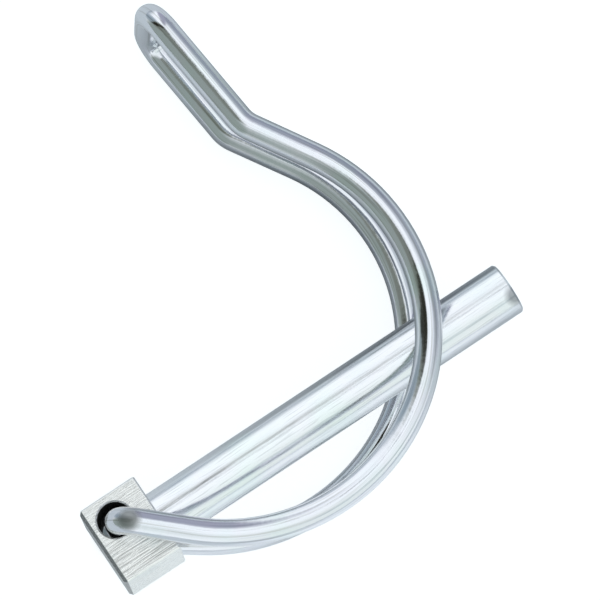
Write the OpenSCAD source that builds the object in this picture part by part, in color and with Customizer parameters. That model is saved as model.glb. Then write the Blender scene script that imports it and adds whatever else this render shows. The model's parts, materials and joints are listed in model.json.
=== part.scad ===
// Tube lock pin: a square-headed pin with a sprung wire bail that swings over its tip.
// Frame: the origin is on the shank's axis at the shoulder, +X runs to the tip,
// +Y to the finger and +Z along the hinge, so the part lies flat on its lower leg.

/* [Pin] */
// Diameter of the shank
shank_d = 8; // [6:0.5:10]
// Length of the shank from the shoulder to the tip
shank_l = 60.5; // [50:0.5:80]
// Chamfer on the tip
tip_chamfer = 0.3; // [0.2:0.05:1.5]
// Width of the square bar that the head is cut from
head_w = 12.5; // [11:0.5:18]
// Length of the head
head_l = 9.5; // [8.5:0.25:14]
// Radius on the edges of the head
head_edge_r = 0.35; // [0.2:0.05:0.45]
// Chamfer round the end where the head is cut from its bar
end_chamfer = 0.5; // [0.5:0.05:1]
// Diameter of the cross hole
hole_d = 5.2; // [4.6:0.1:6]
// Distance of the hole's centre behind the shoulder
hole_back = 5.65; // [4:0.05:5.8]
// Distance of the hole's centre above the shank's axis
hole_up = 2.4; // [0:0.1:3]
// Edge break at each mouth of the hole
hole_chamfer = 0.25; // [0.1:0.05:0.4]

/* [Bail] */
// Diameter of the wire
wire_d = 4; // [2.5:0.1:4.5]
// Centreline radius of the elbow that turns each end into the hole
elbow_r = 3; // [2.5:0.1:5]
// Length of the straight lead from the hinge to the arch
lead_l = 11.2; // [6:0.1:20]
// Heading of the upper leg's lead, from the shank's direction
lead_dir = -42.5; // [-50:0.5:-30]
// How far the lower leg is turned about the hinge from the upper one
leg_skew = 6.5; // [0:0.1:8]
// Centreline radius of the arch
arch_r = 29.05; // [24:0.05:34]
// Length of the straight run between the arch and the finger's bend
run_l = 9.9; // [5:0.1:14]
// Heading of that run
run_dir = 121; // [112:0.5:130]
// Centreline radius of the finger's bend
finger_bend_r = 5.2; // [4:0.1:8]
// Heading of the finger
finger_dir = 95.6; // [88:0.1:102]
// Shortest straight length of a finger
finger_min_l = 5; // [3:0.5:10]
// Centreline radius of the two bends at the loop's end
loop_bend_r = 4; // [3:0.1:4.8]
// How much the wire's radius thins where it is bent
bend_thin = 0.01; // [0.005:0.005:0.05]

/* [Clearances] */
// Gap between the wire and the hole's wall on the side that the wire lies against
seat_gap = 0.05; // [0.02:0.01:0.1]
// Direction in which the wire lies in the hole
seat_dir = -75; // [-120:5:-30]
// Gap between the wire's two ends inside the hole
end_gap = 1; // [0.5:0.5:3]
// Distance from the head's face to the start of an elbow
elbow_out = 0.2; // [0.1:0.1:1]
// Gap between a leg and the shank where the arch reaches farthest
shank_gap = 0.9; // [0.85:0.05:2]
// Gap between the loop and the tip as the bail swings past
loop_gap = 6.8; // [1:0.1:9]

/* [Hidden] */
$fn = 64;

cut_over = 1;
bend_over = 0.1;
pin_colour = [0.80, 0.82, 0.84];
wire_colour = [0.74, 0.77, 0.82];

shank_r = shank_d / 2;
wire_r = wire_d / 2;
hole_r = hole_d / 2;

// The hinge is the wire's own axis, which lies off the hole's centre
hole_at = [-hole_back, hole_up];
hinge = hole_at + (hole_r - wire_r - seat_gap) * ahead(seat_dir);
tip_reach = norm([shank_l, -shank_r] - hinge);

// Plan directions along the finger and square to it
finger_way = ahead(finger_dir);
side_way = -left_of(finger_dir);

// Height of a leg's plane over the middle plane at the hinge, and beside the shank
leg_rise = head_w / 2 + elbow_out + elbow_r;
leg_low = shank_r + shank_gap + wire_r;

function ahead(dir) = [cos(dir), sin(dir)];
function left_of(dir) = [-sin(dir), cos(dir)];

// Plan points of a leg from the hinge, in the order of its bends, with its lead turned by an angle
function arch_start(turn) = lead_l * ahead(lead_dir + turn);
function arch_centre(turn) = arch_start(turn) + arch_r * left_of(lead_dir + turn);
function run_start(turn) = arch_centre(turn) - arch_r * left_of(run_dir);
function run_end(turn) = run_start(turn) + run_l * ahead(run_dir);
function bend_centre(turn) = run_end(turn) - finger_bend_r * left_of(run_dir);
function finger_start(turn) = bend_centre(turn) + finger_bend_r * left_of(finger_dir);

// A leg leans in about the finger's direction, so that it is lowest where its arch reaches farthest
function lean(turn) = asin((leg_rise - leg_low) / (arch_centre(turn) * side_way + arch_r));
function lifted(turn, p) =
    let (along = p * finger_way * finger_way)
    let (side = p * side_way)
    let (out = along + side * cos(lean(turn)) * side_way)
    [out.x, out.y, -side * sin(lean(turn))];

// Both fingers end at one distance along the finger, where the loop clears the tip's swing
loop_side = (finger_start(0) + finger_start(leg_skew)) * side_way / 2;
loop_half = norm(finger_foot(0) - below(finger_foot(leg_skew))) / 2;
loop_inside = sqrt(max(0, pow(tip_reach + loop_gap, 2) - pow(loop_side, 2)));
finger_top = max(
    loop_inside + wire_r - loop_bend_r,
    finger_start(0) * finger_way + finger_min_l,
    finger_start(leg_skew) * finger_way + finger_min_l
);
function finger_l(turn) = finger_top - finger_start(turn) * finger_way;
function finger_foot(turn) =
    lifted(turn, finger_start(turn) * side_way * side_way) + [hinge.x, hinge.y, leg_rise];
function below(p) = [p.x, p.y, -p.z];

module lock_pin() {
    color(pin_colour)
    difference() {
        union() {
            head_block();
            shank();
        }
        translate([hole_at.x, hole_at.y, 0])
        cross_hole();
    }
}

// A square bar with rounded edges and a chamfered end, as the common part of its three views
module head_block() {
    translate([-head_l / 2, 0, 0])
    intersection() {
        linear_extrude(head_w, center = true)
        head_side();
        rotate([90, 0, 0])
        linear_extrude(head_w, center = true)
        head_side();
        rotate([0, 90, 0])
        linear_extrude(head_l, center = true)
        rounded(head_w, head_w);
    }
}

module head_side() {
    end = head_l / 2;
    side = head_w / 2;
    intersection() {
        rounded(head_l, head_w);
        polygon([
            [end, -side],
            [end, side],
            [end_chamfer - end, side],
            [-end, side - end_chamfer],
            [-end, end_chamfer - side],
            [end_chamfer - end, -side]
        ]);
    }
}

module rounded(x, y) {
    square([x - 2 * head_edge_r, y], center = true);
    square([x, y - 2 * head_edge_r], center = true);
    for (i = [-1, 1], j = [-1, 1])
        translate([i * (x / 2 - head_edge_r), j * (y / 2 - head_edge_r)])
        circle(head_edge_r);
}

// The shank starts inside the head, so that the two are one turned piece
module shank() {
    translate([-head_l / 2, 0, 0])
    rotate([0, 90, 0])
    cylinder(r = shank_r, h = head_l / 2 + shank_l - tip_chamfer);
    translate([shank_l - tip_chamfer, 0, 0])
    rotate([0, 90, 0])
    cylinder(r1 = shank_r, r2 = shank_r - tip_chamfer, h = tip_chamfer);
}

module cross_hole() {
    cylinder(r = hole_r, h = head_w + 2 * cut_over, center = true);
    for (face = [0, 1])
        mirror([0, 0, face])
        translate([0, 0, head_w / 2 - hole_chamfer])
        cylinder(r1 = hole_r, r2 = hole_r + hole_chamfer + cut_over, h = hole_chamfer + cut_over);
}

module wire_bail() {
    color(wire_colour) {
        translate([hinge.x, hinge.y, 0]) {
            wire_end(0);
            leg(0);
            mirror([0, 0, 1]) {
                wire_end(leg_skew);
                leg(leg_skew);
            }
        }
        loop();
    }
}

// The straight end in the hole and the elbow that turns it into the lead
module wire_end(turn) {
    way = lifted(turn, ahead(lead_dir + turn));
    elbow_turn = acos(way.z);
    elbow_foot = leg_rise - elbow_r * tan(elbow_turn / 2);
    translate([0, 0, end_gap / 2])
    cylinder(r = wire_r, h = elbow_foot - end_gap / 2);
    translate([0, 0, elbow_foot])
    rotate([0, 0, atan2(way.y, way.x)])
    translate([elbow_r, 0, 0])
    rotate([90, 0, 0])
    arc(elbow_r, 180 - elbow_turn, 180);
}

// One leg in its own leaning plane: lead, arch, run, bend and finger
module leg(turn) {
    way = lifted(turn, ahead(lead_dir + turn));
    elbow_l = elbow_r * tan(acos(way.z) / 2);
    translate([0, 0, leg_rise])
    rotate([0, 0, finger_dir])
    rotate([lean(turn), 0, 0])
    rotate([0, 0, -finger_dir]) {
        rod(elbow_l * ahead(lead_dir + turn), lead_dir + turn, lead_l - elbow_l);
        translate(arch_centre(turn))
        arc(arch_r, lead_dir + turn - 90, run_dir - 90);
        rod(run_start(turn), run_dir, run_l);
        translate(bend_centre(turn))
        arc(finger_bend_r, finger_dir + 90, run_dir + 90);
        rod(finger_start(turn), finger_dir, finger_l(turn));
    }
}

// The crossbar that joins the two fingers, with a bend at each end
module loop() {
    upper = finger_foot(0);
    lower = below(finger_foot(leg_skew));
    across = (upper - lower) / norm(upper - lower);
    way = [finger_way.x, finger_way.y, 0];
    middle = (upper + lower) / 2 + finger_top * way;
    third = cross(across, way);
    bar = loop_half - loop_bend_r;
    multmatrix([
        [across.x, way.x, third.x, middle.x],
        [across.y, way.y, third.y, middle.y],
        [across.z, way.z, third.z, middle.z],
        [0, 0, 0, 1]
    ]) {
        translate([bar, 0])
        arc(loop_bend_r, 0, 90);
        rod([bar, loop_bend_r], 180, 2 * bar);
        translate([-bar, 0])
        arc(loop_bend_r, 90, 180);
    }
}

// A straight length of wire from a plan point
module rod(from, dir, length) {
    translate(from)
    rotate([0, 0, dir])
    rotate([0, 90, 0])
    cylinder(r = wire_r, h = length);
}

// A bent length of wire about the origin, from one angle to a larger one.
// It is a hair thinner than the straights and starts and ends just inside them.
module arc(radius, from, to) {
    over = bend_over / radius * 180 / PI;
    rotate([0, 0, from - over])
    rotate_extrude(angle = to - from + 2 * over, $fn = 128)
    translate([radius, 0])
    circle(wire_r - bend_thin);
}

lock_pin();
wire_bail();
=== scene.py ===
# %% [markdown]
# # A tube lock pin in bright zinc
# The part is a square-headed steel pin with a sprung wire bail. The pin goes through two tubes, and the
# bail swings round them until its legs straddle the tip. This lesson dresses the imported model: it keeps
# the turned pin as it is, sweeps the bent wire again as one smooth tube, and gives both a zinc finish.

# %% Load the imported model
import json
import math

import bmesh
import bpy
import numpy as np
from mathutils import Matrix, Vector


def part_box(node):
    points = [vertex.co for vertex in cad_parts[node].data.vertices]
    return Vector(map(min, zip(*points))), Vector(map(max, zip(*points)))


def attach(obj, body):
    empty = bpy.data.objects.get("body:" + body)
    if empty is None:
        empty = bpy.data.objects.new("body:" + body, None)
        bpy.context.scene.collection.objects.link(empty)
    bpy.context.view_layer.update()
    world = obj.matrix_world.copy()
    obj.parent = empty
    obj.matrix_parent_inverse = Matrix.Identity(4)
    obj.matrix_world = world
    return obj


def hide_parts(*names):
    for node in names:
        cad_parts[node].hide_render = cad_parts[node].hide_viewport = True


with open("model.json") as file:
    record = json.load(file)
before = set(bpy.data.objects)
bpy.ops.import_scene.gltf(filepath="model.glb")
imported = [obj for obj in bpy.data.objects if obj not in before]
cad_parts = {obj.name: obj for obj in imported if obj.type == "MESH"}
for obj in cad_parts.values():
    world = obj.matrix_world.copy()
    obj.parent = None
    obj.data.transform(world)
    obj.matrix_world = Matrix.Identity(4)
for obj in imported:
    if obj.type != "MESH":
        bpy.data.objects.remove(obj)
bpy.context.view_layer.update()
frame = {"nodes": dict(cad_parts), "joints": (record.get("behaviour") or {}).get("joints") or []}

MM = 0.001
scene = bpy.context.scene
scene.view_settings.view_transform = "Standard"
print("pieces in the frame:", sorted(frame["nodes"]))

# %% [markdown]
# ## Small helpers
# Paint charts give colours as sRGB hex codes, while the renderer adds up linear light, so one function
# turns a code into linear numbers. Another adds a shader node, sets it and links it in one call, which
# keeps each material as short as its recipe. The third empties a node tree before it is filled.

# %% Helpers for colours and nodes
def linear(code):
    """Linear RGBA of an sRGB hex code."""
    rgb = [int(code[i:i + 2], 16) / 255 for i in (1, 3, 5)]
    return [c / 12.92 if c <= 0.04045 else ((c + 0.055) / 1.055) ** 2.4 for c in rgb] + [1.0]


def add_node(tree, kind, inputs=None, **settings):
    """Add a node of a kind, with its settings, and set or link its inputs."""
    node = tree.nodes.new(kind)
    for name, value in settings.items():
        setattr(node, name, value)
    for name, value in (inputs or {}).items():
        if isinstance(value, bpy.types.NodeSocket):
            tree.links.new(value, node.inputs[name])
        else:
            node.inputs[name].default_value = value
    return node


def empty_tree(owner):
    """The cleared node tree of a material or world."""
    owner.use_nodes = True
    owner.node_tree.nodes.clear()
    return owner.node_tree


print("middle grey #808080 is", round(linear("#808080")[0], 3), "in linear light")

# %% [markdown]
# ## The camera
# The photograph looks down on the part from about a metre away through a long lens, so lines stay almost
# parallel. The view direction and roll are written in the part's own frame. The lens follows from the
# distance and from the width of the scene that fills the picture.

# %% Place the camera
VIEW_FROM = Vector((-0.073, -0.181, 0.981)).normalized()
ROLL_DEG = -34.05
LOOK_AT = Vector((34.46, 15.39, 0.0)) * MM
DISTANCE = 935 * MM
PICTURE_WIDTH = 86.85 * MM

picture_right = Vector((math.cos(math.radians(ROLL_DEG)), math.sin(math.radians(ROLL_DEG)), 0.0))
picture_right = (picture_right - picture_right.dot(VIEW_FROM) * VIEW_FROM).normalized()
picture_up = VIEW_FROM.cross(picture_right)

camera = bpy.data.objects.new("camera", bpy.data.cameras.new("camera"))
camera.data.lens = camera.data.sensor_width * DISTANCE / PICTURE_WIDTH
camera.data.clip_end = 10.0
camera.matrix_world = Matrix((picture_right, picture_up, VIEW_FROM)).transposed().to_4x4()
camera.location = LOOK_AT + VIEW_FROM * DISTANCE
scene.collection.objects.link(camera)
scene.camera = camera
print("lens", round(camera.data.lens), "mm")

# %% [markdown]
# ## The bail as a wire bender makes it
# The bail is one round wire. A bender feeds it forward and bends it to a new heading, so its centreline
# is straights and arcs in turn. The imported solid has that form, but a swept tube is smoother under a sharp
# reflection, and each of its points also knows where it lay on the straight wire. The sizes below are the
# bail's own, in millimetres and degrees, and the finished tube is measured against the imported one.

# %% Sizes of the bail
WIRE_R = 2.0
SHANK_R, SHANK_L, HEAD_W = 4.0, 60.5, 12.5
HINGE = Vector([v / MM for v in frame["joints"][0]["pos_m"]])
END_GAP = 1.0
ELBOW_R, ELBOW_OUT = 3.0, 0.2
LEAD_L, LEAD_DIR = 11.2, -42.5
LEG_SKEW = 6.5
ARCH_R = 29.05
RUN_L, RUN_DIR = 9.9, 121.0
FINGER_BEND_R, FINGER_DIR = 5.2, 95.6
LOOP_BEND_R = 4.0
SHANK_GAP, LOOP_GAP = 0.9, 6.8

# The upper leg is side 1 and the lower leg is side -1, which is turned a little about the hinge
TURNS = {1: 0.0, -1: LEG_SKEW}
leg_rise = HEAD_W / 2 + ELBOW_OUT + ELBOW_R
leg_low = SHANK_R + SHANK_GAP + WIRE_R


def heading(deg):
    """Unit vector in the plan at an angle from the shank."""
    return Vector((math.cos(math.radians(deg)), math.sin(math.radians(deg)), 0.0))


finger_way = heading(FINGER_DIR)
side_way = heading(FINGER_DIR - 90)
print("the legs rise", round(leg_rise, 2), "mm at the hinge and lean in to", round(leg_low, 2), "mm")

# %% [markdown]
# ## The legs' planes
# Each leg is flat, but its plane leans in about the finger's direction, so that it passes close by the
# shank. Where a finger starts follows from the bends before it. The loop's end follows from the tip, which
# it has to clear as the bail swings past.

# %% Lean the legs and find their fingers
def arch_centre(turn):
    """Plan point at the centre of a leg's arch, from the hinge."""
    return LEAD_L * heading(LEAD_DIR + turn) + ARCH_R * heading(LEAD_DIR + turn + 90)


def finger_start(turn):
    """Plan point where a leg's finger begins, from the hinge."""
    run_end = arch_centre(turn) + ARCH_R * heading(RUN_DIR - 90) + RUN_L * heading(RUN_DIR)
    return run_end + FINGER_BEND_R * (heading(RUN_DIR - 90) + heading(FINGER_DIR + 90))


def leg_tilt(turn, side):
    """Matrix that leans a leg's plane in, and mirrors the lower one."""
    lean = math.asin((leg_rise - leg_low) / (arch_centre(turn).dot(side_way) + ARCH_R))
    spin = Matrix.Rotation(math.radians(FINGER_DIR), 3, "Z")
    tilt = spin @ Matrix.Rotation(lean, 3, "X") @ spin.inverted()
    return Matrix.Diagonal((1, 1, side)) @ tilt


def finger_foot(side):
    """Point beside the hinge that lies on the line of a leg's finger."""
    sideways = finger_start(TURNS[side]).dot(side_way) * side_way
    return HINGE + Vector((0, 0, side * leg_rise)) + tilts[side] @ sideways


tilts = {side: leg_tilt(turn, side) for side, turn in TURNS.items()}
tip_reach = (Vector((SHANK_L, -SHANK_R, 0)) - HINGE).length
loop_side = sum(finger_start(turn).dot(side_way) for turn in TURNS.values()) / 2
finger_top = math.sqrt((tip_reach + LOOP_GAP) ** 2 - loop_side ** 2) + WIRE_R - LOOP_BEND_R
print("the finger ends", round(finger_top, 1), "mm up from the hinge")

# %% [markdown]
# ## Feeding and bending
# The path is a list of points with the length fed so far. A straight needs few points and an arc needs
# one for every few degrees. A bend is given by its radius and its new heading, and turns in the plane of
# the old and the new one.

# %% The bender's two moves
ARC_STEP_DEG = 3.0
FEED_STEP = 1.5


def feed(path, length):
    """Add a straight of a length to a path of (point, heading, fed length)."""
    point, way, fed = path[-1]
    steps = max(1, round(length / FEED_STEP))
    for i in range(1, steps + 1):
        path.append((point + way * length * i / steps, way, fed + length * i / steps))


def bend(path, radius, new_way):
    """Add an arc that turns a path to a new heading."""
    point, way, fed = path[-1]
    inward = (new_way - new_way.dot(way) * way).normalized()
    angle = way.angle(new_way)
    steps = max(2, math.ceil(math.degrees(angle) / ARC_STEP_DEG))
    for i in range(1, steps + 1):
        a = angle * i / steps
        shift = radius * (math.sin(a) * way + (1 - math.cos(a)) * inward)
        path.append((point + shift, math.cos(a) * way + math.sin(a) * inward, fed + radius * a))


print("an arc has a point every", ARC_STEP_DEG, "degrees at most")

# %% [markdown]
# ## The bender's program
# One leg is four straights with a bend after each: the end in the hole, the lead, the run and the finger.
# The whole wire is the upper leg, a crossbar at the loop's end, and the lower leg in reverse.

# %% Run the program
def leg_program(side):
    """The straights of a leg from its end in the hole, as (heading, length, radius of the next bend)."""
    turn, tilt = TURNS[side], tilts[side]
    lead, run, finger = (tilt @ heading(d) for d in (LEAD_DIR + turn, RUN_DIR, FINGER_DIR))
    stub = Vector((0, 0, side))
    elbow_l = ELBOW_R * math.tan(stub.angle(lead) / 2)
    finger_l = finger_top - finger_start(turn).dot(finger_way)
    return [
        (stub, leg_rise - elbow_l - END_GAP / 2, ELBOW_R),
        (lead, LEAD_L - elbow_l, ARCH_R),
        (run, RUN_L, FINGER_BEND_R),
        (finger, finger_l, LOOP_BEND_R),
    ]


between_feet = finger_foot(-1) - finger_foot(1)
crossbar_l = between_feet.length - 2 * LOOP_BEND_R
upper, lower = leg_program(1), leg_program(-1)[::-1]
radii = [radius for way, length, radius in upper + lower]
straights = [(way, length) for way, length, radius in upper]
straights += [(between_feet.normalized(), crossbar_l)]
straights += [(-way, length) for way, length, radius in lower]

path = [(HINGE + Vector((0, 0, END_GAP / 2)), straights[0][0], 0.0)]
for i, (way, length) in enumerate(straights):
    if i:
        bend(path, radii[i - 1], way)
    feed(path, length)
print("wire fed:", round(path[-1][2]), "mm in", len(path), "steps")

# %% [markdown]
# ## Sweeping the tube
# A ring of points is carried along the path without twisting, so the surface has clean quads in rows. Each
# end is cut off square with a small chamfer, as a wire cutter leaves it. A curve with a round bevel would
# be shorter to write, but here the attribute straight_mm keeps each point's place on the wire before it was
# bent, which the finish uses for lines along the wire.

# %% Sweep the wire
AROUND = 40
END_CHAMFER = 0.3


def sweep(path):
    """Points, faces and straight-wire places of a tube along a path."""
    (start, start_way, start_fed), (end, end_way, end_fed) = path[0], path[-1]
    rings = [(start, start_way, start_fed, WIRE_R - END_CHAMFER)]
    rings += [(start + start_way * END_CHAMFER, start_way, start_fed, WIRE_R)]
    rings += [(point, way, fed, WIRE_R) for point, way, fed in path[1:-1]]
    rings += [(end - end_way * END_CHAMFER, end_way, end_fed, WIRE_R)]
    rings += [(end, end_way, end_fed, WIRE_R - END_CHAMFER)]
    normal = start_way.orthogonal().normalized()
    points, places = [], []
    for centre, way, fed, radius in rings:
        normal = (normal - normal.dot(way) * way).normalized()
        binormal = way.cross(normal)
        for k in range(AROUND):
            a = 2 * math.pi * k / AROUND
            points.append((centre + radius * (math.cos(a) * normal + math.sin(a) * binormal)) * MM)
            places.append((radius * math.cos(a), radius * math.sin(a), fed))
    faces = [list(range(AROUND))[::-1], [len(points) - AROUND + k for k in range(AROUND)]]
    for i in range(len(rings) - 1):
        for k in range(AROUND):
            a, b = i * AROUND + k, i * AROUND + (k + 1) % AROUND
            faces.append((a, b, b + AROUND, a + AROUND))
    return points, faces, places


points, faces, places = sweep(path)
wire_low, wire_high = (np.array(corner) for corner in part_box("wire_bail"))
swept = np.array(points)
off = max(np.abs(swept.min(0) - wire_low).max(), np.abs(swept.max(0) - wire_high).max())
print("tube and packed wire differ by", round(off / MM, 3), "mm at most in their boxes")

# %% [markdown]
# ## Putting the wire in its place
# The tube stands in for the imported bail, which is hidden, and rides on the bail's body. Its sides are
# shaded smooth, and its two cut ends stay flat.

# %% Build the wire
wire_mesh = bpy.data.meshes.new("bent_wire")
wire_mesh.from_pydata(points, [], faces)
wire_mesh.polygons.foreach_set("use_smooth", [len(f) == 4 for f in faces])
straight = wire_mesh.attributes.new("straight_mm", "FLOAT_VECTOR", "POINT")
straight.data.foreach_set("vector", np.array(places, np.float32).ravel())
bent_wire = bpy.data.objects.new("bent_wire", wire_mesh)
scene.collection.objects.link(bent_wire)
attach(bent_wire, "bail")
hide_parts("wire_bail")
print("wire:", len(points), "points and", len(faces), "faces")

# %% [markdown]
# ## What both finishes share
# Zinc plating is covered by a thin clear film of passivation. Where the film changes thickness it gives
# faint lilac, blue and green tints, like oil on water. A broad noise that runs through a few tints does
# this with no picture file. Marks that sit in one place are painted by distance from a point.

# %% Tints of the film, and marks by place
NOISE_LOW, NOISE_HIGH = 0.3, 0.7


def zinc_tint(tree, place, patch_mm, colours):
    """Colour that drifts through the tints of a passivation film, in patches of a size."""
    size = add_node(tree, "ShaderNodeVectorMath", {0: place, 1: [1 / patch_mm] * 3}, operation="MULTIPLY")
    drift = add_node(tree, "ShaderNodeTexNoise", {"Vector": size.outputs[0], "Scale": 1.0, "Detail": 2.0})
    ramp = add_node(tree, "ShaderNodeValToRGB", {"Fac": drift.outputs["Fac"]})
    stops = ramp.color_ramp.elements
    while len(stops) < len(colours):
        stops.new(0.5)
    for i, code in enumerate(colours):
        stops[i].position = NOISE_LOW + (NOISE_HIGH - NOISE_LOW) * i / (len(colours) - 1)
        stops[i].color = linear(code)
    return ramp.outputs["Color"]


def within(tree, place, centre, weights, near, far):
    """One inside a distance from a centre, fading to nothing at a larger one."""
    shift = add_node(tree, "ShaderNodeVectorMath", {0: place, 1: centre}, operation="SUBTRACT")
    shift = add_node(tree, "ShaderNodeVectorMath", {0: shift.outputs[0], 1: weights}, operation="MULTIPLY")
    reach = add_node(tree, "ShaderNodeVectorMath", {0: shift.outputs[0]}, operation="LENGTH")
    return add_node(tree, "ShaderNodeMapRange",
                    {"Value": reach.outputs["Value"], "From Min": far, "From Max": near}).outputs[0]


print("most of a noise lies between", NOISE_LOW, "and", NOISE_HIGH)

# %% [markdown]
# ## Bright zinc plated spring wire
# Spring wire is drawn through a die, bent, and then plated with a few micrometres of zinc under a clear
# blue passivation. To the eye it is a bright mirror that is a little soft, with fine lines along the wire.
# A metal shader with three noises does this: one stretched along the straight wire for the lines, one broad
# for the film's tints, and one for the drawn skin's slight waviness, which makes reflections waver. Real die
# lines are a few hundredths of a millimetre apart, which is too fine to show, so they are drawn coarser. A
# grey spot of painted shade lies on the outside of each elbow, and the wire is also made duller there.

# %% The wire's sizes and colours
DIE_LINE_MM, DIE_LINE_RUN_MM = 0.4, 25.0
WIRE_WAVE_MM = 1.2
WIRE_PATCH_MM = 9.0
WIRE_TINTS = ("#E8EDF1", "#ECECF2", "#E7EFEF")
# The second grey is painted shade on the outside of the elbows
DIE_LINE_GREY, ELBOW_SHADE_GREY = "#85867A", "#A4A6A6"
ELBOW_MARK_R = 2.2
ELBOW_MARK_DEG = 14.0


def elbow_mark_at(side):
    """Place in metres on the outside of a leg's elbow, a little nearer to its top."""
    lead = heading(LEAD_DIR + TURNS[side])
    back = math.radians(ELBOW_MARK_DEG)
    outward = math.cos(back) * Vector((0, 0, 1)) - math.sin(back) * lead
    spot = Vector((0, 0, leg_rise - ELBOW_R)) + ELBOW_R * lead + (ELBOW_R + WIRE_R) * outward
    return (HINGE + Vector((spot.x, spot.y, side * spot.z))) * MM


print("elbow marks at heights", [round(elbow_mark_at(side).z / MM, 1) for side in TURNS], "mm")

# %% The wire's finish
def bright_zinc_plated_spring_wire():
    """Drawn wire, zinc plated and blue passivated."""
    material = bpy.data.materials.new("bright_zinc_plated_spring_wire")
    tree = empty_tree(material)
    place = add_node(tree, "ShaderNodeAttribute", attribute_name="straight_mm").outputs["Vector"]
    fine = [1 / DIE_LINE_MM, 1 / DIE_LINE_MM, 1 / DIE_LINE_RUN_MM]
    lines_at = add_node(tree, "ShaderNodeVectorMath", {0: place, 1: fine}, operation="MULTIPLY")
    lines = add_node(tree, "ShaderNodeTexNoise",
                     {"Vector": lines_at.outputs[0], "Scale": 1.0, "Detail": 3.0}).outputs["Fac"]

    film = zinc_tint(tree, place, WIRE_PATCH_MM, WIRE_TINTS)
    streak = add_node(tree, "ShaderNodeMapRange",
                      {"Value": lines, "From Min": 0.46, "From Max": 0.34, "To Max": 0.35})
    tint = add_node(tree, "ShaderNodeMix",
                    {"Factor": streak.outputs[0], "A": film, "B": linear(DIE_LINE_GREY)},
                    data_type="RGBA").outputs["Result"]
    rough = add_node(tree, "ShaderNodeMapRange",
                     {"Value": lines, "From Min": NOISE_LOW, "From Max": NOISE_HIGH,
                      "To Min": 0.06, "To Max": 0.16})
    metres = add_node(tree, "ShaderNodeTexCoord").outputs["Object"]
    mark_r = ELBOW_MARK_R * MM
    # Painted shade: a grey spot on the outside of each elbow, which is also made rougher
    for side in TURNS:
        mark = within(tree, metres, elbow_mark_at(side), (1, 1, 1), 0.5 * mark_r, mark_r)
        tint = add_node(tree, "ShaderNodeMix", {"Factor": mark, "A": tint, "B": linear(ELBOW_SHADE_GREY)},
                        data_type="RGBA").outputs["Result"]
        rough = add_node(tree, "ShaderNodeMath", {0: mark, 1: 0.3, 2: rough.outputs[0]},
                         operation="MULTIPLY_ADD")

    coarse = [1 / WIRE_WAVE_MM] * 3
    waves_at = add_node(tree, "ShaderNodeVectorMath", {0: place, 1: coarse}, operation="MULTIPLY")
    waves = add_node(tree, "ShaderNodeTexNoise", {"Vector": waves_at.outputs[0], "Scale": 1.0, "Detail": 2.0})
    height = add_node(tree, "ShaderNodeMath", {0: waves.outputs["Fac"], 1: 0.5, 2: lines},
                      operation="MULTIPLY_ADD")
    bump = add_node(tree, "ShaderNodeBump",
                    {"Height": height.outputs[0], "Strength": 0.6, "Distance": 0.04 * MM})
    metal = add_node(tree, "ShaderNodeBsdfPrincipled",
                     {"Base Color": tint, "Metallic": 1.0, "Roughness": rough.outputs[0],
                      "Normal": bump.outputs["Normal"]})
    add_node(tree, "ShaderNodeOutputMaterial", {"Surface": metal.outputs[0]})
    return material


bent_wire.data.materials.append(bright_zinc_plated_spring_wire())
print("wire finish:", bent_wire.data.materials[0].name)

# %% [markdown]
# ## Bright zinc plated drawn bar
# The pin is turned from square cold-drawn bar and plated with the wire. The shank is smooth, while the
# head keeps the bar's drawn skin: a warmer, duller grey with dark grooves along the pin. The grooves are
# drawn coarser than real ones so that they show, and they are darkest on the half of the head that is away
# from the hole. One stretched noise gives both the shank's faint lines and the head's grooves.

# %% The pin's two colours
BAR_LINE_MM, BAR_LINE_RUN_MM = 0.25, 6.0
SHANK_PATCH_MM, HEAD_PATCH_MM = 9.0, 4.0
SHANK_TINTS = ("#EEF2F5", "#F2F2F6", "#EEF4F4")
HEAD_TINTS = ("#F8F8F6", "#FCFBF8", "#F2F3F1")
SHANK_LINE_GREY, GROOVE_GREY = "#9BA3A6", "#7D7D7A"
SMOOTH_Y, GROOVED_Y = 1.0, -3.0
SIDE_FACE_Y, TOP_FACE_Y = -6.2, -5.6


def shank_colour(tree, place, lines):
    """Film tints with faint grey lines along the shank."""
    tint = zinc_tint(tree, place, SHANK_PATCH_MM, SHANK_TINTS)
    streak = add_node(tree, "ShaderNodeMapRange",
                      {"Value": lines, "From Min": 0.45, "From Max": 0.35, "To Max": 0.25})
    return add_node(tree, "ShaderNodeMix",
                    {"Factor": streak.outputs[0], "A": tint, "B": linear(SHANK_LINE_GREY)},
                    data_type="RGBA").outputs["Result"]


def head_colour(tree, place, lines, y):
    """Warm film tints with grooves that darken away from the hole and stop at the side face."""
    tint = zinc_tint(tree, place, HEAD_PATCH_MM, HEAD_TINTS)
    groove = add_node(tree, "ShaderNodeMapRange", {"Value": lines, "From Min": 0.5, "From Max": 0.38})
    dark = add_node(tree, "ShaderNodeMapRange",
                    {"Value": y, "From Min": SMOOTH_Y, "From Max": GROOVED_Y, "To Min": 0.12, "To Max": 0.4})
    on_top = add_node(tree, "ShaderNodeMapRange",
                      {"Value": y, "From Min": SIDE_FACE_Y, "From Max": TOP_FACE_Y})
    for share in (dark, on_top):
        groove = add_node(tree, "ShaderNodeMath", {0: groove.outputs[0], 1: share.outputs[0]},
                          operation="MULTIPLY")
    return add_node(tree, "ShaderNodeMix",
                    {"Factor": groove.outputs[0], "A": tint, "B": linear(GROOVE_GREY)},
                    data_type="RGBA").outputs["Result"]


print("bar lines are drawn", BAR_LINE_MM, "mm apart")
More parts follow.
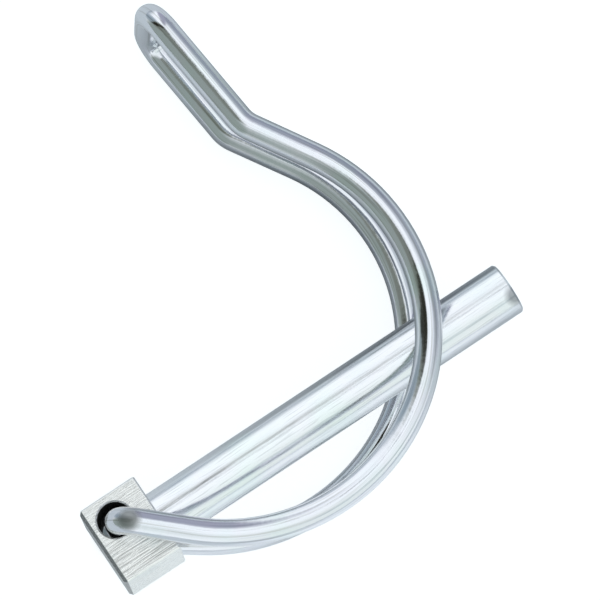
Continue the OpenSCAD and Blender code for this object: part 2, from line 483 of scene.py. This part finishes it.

# %% [markdown]
# ## The pin as one material
# The pin is one piece of steel, so one material covers it and changes by place: shank, head, the sawn end
# of the bar, the cross hole and the tip. The cross hole's wall is painted near black as painted shade, and
# is made dull and not metallic there. The tip's edge has one dull spot from grinding.

# %% The pin's finish
SHOULDER_X = 0.05
SAWN_END_X, SAWN_GREY = -9.05, "#98989A"
# The cross hole's near-black colour is painted shade
HOLE_AT, HOLE_R, HOLE_EDGE, HOLE_SHADE_BLACK = (-5.65, 2.4, 0.0), 2.6, 0.05, "#0B0B0C"
TIP_SPOT_AT, TIP_SPOT_R, TIP_SPOT_GREY = (SHANK_L, -2.0, 3.4), 2.0, "#A9ABB0"


def bright_zinc_plated_drawn_bar():
    """Turned shank and drawn head of one bar, zinc plated."""
    material = bpy.data.materials.new("bright_zinc_plated_drawn_bar")
    tree = empty_tree(material)
    metres = add_node(tree, "ShaderNodeTexCoord").outputs["Object"]
    place = add_node(tree, "ShaderNodeVectorMath", {0: metres, 1: [1 / MM] * 3},
                     operation="MULTIPLY").outputs[0]
    along = add_node(tree, "ShaderNodeSeparateXYZ", {"Vector": place}).outputs
    fine = [1 / BAR_LINE_RUN_MM, 1 / BAR_LINE_MM, 1 / BAR_LINE_MM]
    lines_at = add_node(tree, "ShaderNodeVectorMath", {0: place, 1: fine}, operation="MULTIPLY")
    lines = add_node(tree, "ShaderNodeTexNoise",
                     {"Vector": lines_at.outputs[0], "Scale": 1.0, "Detail": 4.0}).outputs["Fac"]

    on_head, at_end = (
        add_node(tree, "ShaderNodeMath", {0: along["X"], 1: x}, operation="LESS_THAN").outputs[0]
        for x in (SHOULDER_X, SAWN_END_X)
    )
    in_hole = within(tree, place, HOLE_AT, (1, 1, 0), HOLE_R, HOLE_R + HOLE_EDGE)
    tip_spot = within(tree, place, TIP_SPOT_AT, (1, 1, 1), TIP_SPOT_R * 0.5, TIP_SPOT_R)
    tint = shank_colour(tree, place, lines)
    for where, colour in (
        (on_head, head_colour(tree, place, lines, along["Y"])),
        (at_end, linear(SAWN_GREY)),
        # painted shade in the cross hole
        (in_hole, linear(HOLE_SHADE_BLACK)),
        (tip_spot, linear(TIP_SPOT_GREY)),
    ):
        tint = add_node(tree, "ShaderNodeMix", {"Factor": where, "A": tint, "B": colour},
                        data_type="RGBA").outputs["Result"]

    shank_rough, head_rough = (
        add_node(tree, "ShaderNodeMapRange",
                 {"Value": lines, "From Min": NOISE_LOW, "From Max": NOISE_HIGH,
                  "To Min": low, "To Max": high}).outputs[0]
        for low, high in ((0.1, 0.2), (0.3, 0.2))
    )
    rough = add_node(tree, "ShaderNodeMix", {"Factor": on_head, "A": shank_rough, "B": head_rough})
    matt = add_node(tree, "ShaderNodeMath", {0: rough.outputs[0], 1: in_hole}, operation="MAXIMUM")
    bright = add_node(tree, "ShaderNodeMapRange", {"Value": on_head, "To Min": 1.0, "To Max": 0.9})
    metalness = add_node(tree, "ShaderNodeMath", {0: bright.outputs[0], 1: in_hole},
                      operation="SUBTRACT", use_clamp=True)
    depth = add_node(tree, "ShaderNodeMapRange", {"Value": on_head, "To Min": 0.1, "To Max": 0.9})
    bump = add_node(tree, "ShaderNodeBump",
                    {"Height": lines, "Strength": depth.outputs[0], "Distance": 0.1 * MM})
    metal = add_node(tree, "ShaderNodeBsdfPrincipled",
                     {"Base Color": tint, "Metallic": metalness.outputs[0], "Roughness": matt.outputs[0],
                      "Normal": bump.outputs["Normal"]})
    add_node(tree, "ShaderNodeOutputMaterial", {"Surface": metal.outputs[0]})
    return material


lock_pin = frame["nodes"]["lock_pin"]
lock_pin.data.materials.clear()
lock_pin.data.materials.append(bright_zinc_plated_drawn_bar())
print("pin finish:", lock_pin.data.materials[0].name)

# %% [markdown]
# ## The table
# The part lies on its lower leg, which leans a little, so the table is set against that leg. The plane
# could be worked out from the lean, but it is simpler to find: a tight skin round the wire has one large
# face underneath, and that face is the table's plane.

# %% Lay the table under the wire
TABLE_SIZE = 3000 * MM
# A face looks down if its normal's height is below this
UNDERSIDE = -0.9

skin = bmesh.new()
skin.from_mesh(wire_mesh)
bmesh.ops.convex_hull(skin, input=skin.verts)
under = max((f for f in skin.faces if f.normal.z < UNDERSIDE), key=lambda f: f.calc_area())
table_up, table_at = -under.normal.copy(), under.calc_center_median()
skin.free()

half = TABLE_SIZE / 2
corners = [(-half, -half, 0), (half, -half, 0), (half, half, 0), (-half, half, 0)]
table_mesh = bpy.data.meshes.new("table")
table_mesh.from_pydata(corners, [], [(0, 1, 2, 3)])
table = bpy.data.objects.new("table", table_mesh)
table.matrix_world = Matrix.Translation(table_at) @ table_up.to_track_quat("Z", "Y").to_matrix().to_4x4()
scene.collection.objects.link(table)
print("table leans", round(math.degrees(table_up.angle(Vector((0, 0, 1)))), 1), "degrees")

# %% [markdown]
# ## Matt white card
# The card on the table is uncoated paper board, so it is matt, and the metal's edges show it. To match the
# edges in the photograph it has painted shade in one place beside the arch, and painted light beside the head
# and on the shank's near side. The camera sees it plain white with a faint shadow and a deeper painted shadow
# under the head. One small place that can be seen through the cross hole is painted unlit, so the hole looks
# dark.

# %% Places on the card
# The card's painted shade is darkest within DIM_NEAR of DIM_AT
DIM_AT, DIM_NEAR, DIM_FAR = LOOK_AT + (6.5 * picture_right + 20 * picture_up) * MM, 8 * MM, 50 * MM
# Each place of painted light has a centre, two distances between which it fades, and a glow
PAINTED_LIGHT_PLACES = (
    (LOOK_AT + (38 * picture_right - 68 * picture_up) * MM, 32 * MM, 58 * MM, 0.35),
    (Vector((-4.0, -9.0, 0.0)) * MM, 4 * MM, 18 * MM, 0.25),
)
# A painted shadow under the head, and a painted unlit spot that shows through the cross hole
UNDER_HEAD, UNDER_HEAD_NEAR, UNDER_HEAD_FAR = Vector((-5.0, 3.5, 0.0)) * MM, 0.5 * MM, 5.0 * MM
UNDER_HEAD_SHADE = 0.8
THROUGH_HOLE, THROUGH_NEAR, THROUGH_FAR = Vector((-7.3, 4.7, 0.0)) * MM, 0.3 * MM, 1.0 * MM
CARD_WHITE, CARD_PAINTED_SHADE, CARD_SEEN, GLOW_WHITE = "#D6DCE1", "#80868C", "#979FA4", "#FCFEFF"
MIRROR_GLOW, DIM_GLOW, CAMERA_GLOW = 0.13, 0.03, 0.87


def card_shine(tree, place, dim, ray):
    """How much the card glows: a little in reflections, and up to white for the camera."""
    mirrored = add_node(tree, "ShaderNodeMapRange", {"Value": dim, "To Min": MIRROR_GLOW, "To Max": DIM_GLOW})
    # Painted light: extra glow in reflections at the paler places
    for centre, near, far, gain in PAINTED_LIGHT_PLACES:
        pale = within(tree, place, centre, (1, 1, 0), near, far)
        mirrored = add_node(tree, "ShaderNodeMath", {0: pale, 1: gain, 2: mirrored.outputs[0]},
                            operation="MULTIPLY_ADD")
    bounced = add_node(tree, "ShaderNodeMath", {0: ray["Is Glossy Ray"], 1: ray["Is Transmission Ray"]},
                       operation="MAXIMUM")
    mirrored = add_node(tree, "ShaderNodeMath", {0: bounced.outputs[0], 1: mirrored.outputs[0]},
                        operation="MULTIPLY")

    # Painted shadow: the camera's glow is taken away under the head and at the spot seen through the cross
    # hole
    shade = within(tree, place, UNDER_HEAD, (1, 1, 0), UNDER_HEAD_NEAR, UNDER_HEAD_FAR)
    shade = add_node(tree, "ShaderNodeMath", {0: shade, 1: UNDER_HEAD_SHADE}, operation="MULTIPLY")
    through = within(tree, place, THROUGH_HOLE, (1, 0.5, 0), THROUGH_NEAR, THROUGH_FAR)
    shade = add_node(tree, "ShaderNodeMath", {0: shade.outputs[0], 1: through}, operation="MAXIMUM")
    seen = add_node(tree, "ShaderNodeMapRange",
                    {"Value": shade.outputs[0], "To Min": CAMERA_GLOW, "To Max": 0.0})
    return add_node(tree, "ShaderNodeMath",
                    {0: ray["Is Camera Ray"], 1: seen.outputs[0], 2: mirrored.outputs[0]},
                    operation="MULTIPLY_ADD").outputs[0]


print("the card has", len(PAINTED_LIGHT_PLACES), "paler places")

# %% The card's finish
def matt_white_card():
    """White card with painted shade and painted light, that shows white to the camera and keeps a faint
    shadow.
    """
    material = bpy.data.materials.new("matt_white_card")
    tree = empty_tree(material)
    ray = add_node(tree, "ShaderNodeLightPath").outputs
    place = add_node(tree, "ShaderNodeNewGeometry").outputs["Position"]
    dim = within(tree, place, DIM_AT, (1, 1, 0), DIM_NEAR, DIM_FAR)
    paper = linear(CARD_WHITE)
    # The paper turns grey as painted shade near DIM_AT
    for where, code in ((dim, CARD_PAINTED_SHADE), (ray["Is Camera Ray"], CARD_SEEN)):
        paper = add_node(tree, "ShaderNodeMix", {"Factor": where, "A": paper, "B": linear(code)},
                         data_type="RGBA").outputs["Result"]
    card = add_node(tree, "ShaderNodeBsdfDiffuse", {"Color": paper})
    glow = add_node(tree, "ShaderNodeEmission",
                    {"Color": linear(GLOW_WHITE), "Strength": card_shine(tree, place, dim, ray)})
    both = add_node(tree, "ShaderNodeAddShader", {0: card.outputs[0], 1: glow.outputs[0]})
    add_node(tree, "ShaderNodeOutputMaterial", {"Surface": both.outputs[0]})
    return material


table_mesh.materials.append(matt_white_card())
print("table finish:", table_mesh.materials[0].name)

# %% [markdown]
# ## The light tent
# Bright metal shows little but what stands round it, so the studio is half of the finish. The tent is white,
# with grey, lilac and blue cloth on its sides, an opening to a dim room, and a dark slot to the left of the
# lens. Lamps could make this too, but a world that is coloured by direction is simpler to place. Each patch
# has a place, a half size and a turn in degrees, to the right and up from the camera's place, a soft edge
# and a colour. The camera itself sees plain white.

# %% Measure the tent in degrees
# Keeps the division safe straight up the lens
LEAST_SINE = 0.001


def roof_degrees(tree):
    """Direction in the tent as degrees right and up from the lens."""
    way = add_node(tree, "ShaderNodeTexCoord").outputs["Generated"]
    right, up, out = (
        add_node(tree, "ShaderNodeVectorMath", {0: way, 1: axis}, operation="DOT_PRODUCT").outputs["Value"]
        for axis in (picture_right, picture_up, VIEW_FROM)
    )
    sideways = add_node(tree, "ShaderNodeCombineXYZ", {"X": right, "Y": up}).outputs[0]
    sine = add_node(tree, "ShaderNodeVectorMath", {0: sideways}, operation="LENGTH").outputs["Value"]
    angle = add_node(tree, "ShaderNodeMath", {0: out}, operation="ARCCOSINE").outputs[0]
    degrees = add_node(tree, "ShaderNodeMath", {0: angle}, operation="DEGREES").outputs[0]
    sine = add_node(tree, "ShaderNodeMath", {0: sine, 1: LEAST_SINE}, operation="MAXIMUM").outputs[0]
    stretch = add_node(tree, "ShaderNodeMath", {0: degrees, 1: sine}, operation="DIVIDE").outputs[0]
    return add_node(tree, "ShaderNodeVectorMath", {0: sideways, "Scale": stretch},
                    operation="SCALE").outputs[0]


def hang(tree, roof, cloth, centre, half_size, turn, edge, code):
    """Hang an oval patch of a colour on the tent, with a soft edge that is a share of its size."""
    shifted = add_node(tree, "ShaderNodeVectorMath", {0: roof, 1: (*centre, 0.0)}, operation="SUBTRACT")
    turned = add_node(tree, "ShaderNodeVectorRotate",
                      {"Vector": shifted.outputs[0], "Angle": -math.radians(turn)}, rotation_type="Z_AXIS")
    shrink = (1 / half_size[0], 1 / half_size[1], 0.0)
    scaled = add_node(tree, "ShaderNodeVectorMath", {0: turned.outputs[0], 1: shrink}, operation="MULTIPLY")
    reach = add_node(tree, "ShaderNodeVectorMath", {0: scaled.outputs[0]}, operation="LENGTH")
    inside = add_node(tree, "ShaderNodeMapRange",
                      {"Value": reach.outputs["Value"], "From Min": 1 + edge, "From Max": 1 - edge},
                      interpolation_type="SMOOTHSTEP")
    return add_node(tree, "ShaderNodeMix", {"Factor": inside.outputs[0], "A": cloth, "B": linear(code)},
                    data_type="RGBA").outputs["Result"]


print("the tent is measured from", [round(v, 3) for v in VIEW_FROM])

# %% Hang the tent
TENT_WHITE, TENT_STRENGTH = "#F6FCFF", 1.14
PATCHES = {
    "pale side": ((75, 45), (40, 45), 20, 0.7, "#98A1AB"),
    "grey cloth": ((50, 105), (65, 30), 62, 0.3, "#8C93A0"),
    "lilac cloth": ((6, 85), (48, 16), 80, 0.35, "#9C9FAF"),
    "far wall": ((-85, 120), (58, 100), 125, 0.25, "#95A1AD"),
    "blue cloth": ((-60, 30), (45, 25), -50, 0.45, "#909EA8"),
    "dim room": ((-65, -25), (50, 50), 0, 0.4, "#8C9793"),
    "doorway": ((-35, 18), (28, 18), 0, 0.2, "#757C75"),
    "pale front": ((45, -65), (60, 45), -55, 0.6, "#E2EBE9"),
    "lit gap": ((0, 18), (27, 10), 65, 0.25, TENT_WHITE),
    "seam": ((35, -28), (30, 4), 35, 0.8, "#B9C6C8"),
    "slot": ((-40, 22), (33, 7), 4, 0.2, "#2A2A24"),
    "lens": ((2.5, 17), (7, 1.6), 34, 0.5, "#8F949B"),
}

world = bpy.data.worlds.new("light_tent")
scene.world = world
tree = empty_tree(world)
roof = roof_degrees(tree)
cloth = linear(TENT_WHITE)
for centre, half_size, turn, edge, code in PATCHES.values():
    cloth = hang(tree, roof, cloth, centre, half_size, turn, edge, code)
tent = add_node(tree, "ShaderNodeBackground", {"Color": cloth, "Strength": TENT_STRENGTH})
white = add_node(tree, "ShaderNodeBackground", {"Color": linear("#FFFFFF"), "Strength": 1.0})
seen = add_node(tree, "ShaderNodeLightPath").outputs["Is Camera Ray"]
shown = add_node(tree, "ShaderNodeMixShader", {0: seen, 1: tent.outputs[0], 2: white.outputs[0]})
add_node(tree, "ShaderNodeOutputWorld", {"Surface": shown.outputs[0]})
print("tent with", len(PATCHES), "patches")

# %% [markdown]
# ## The end

# %% Finish
print("finished")
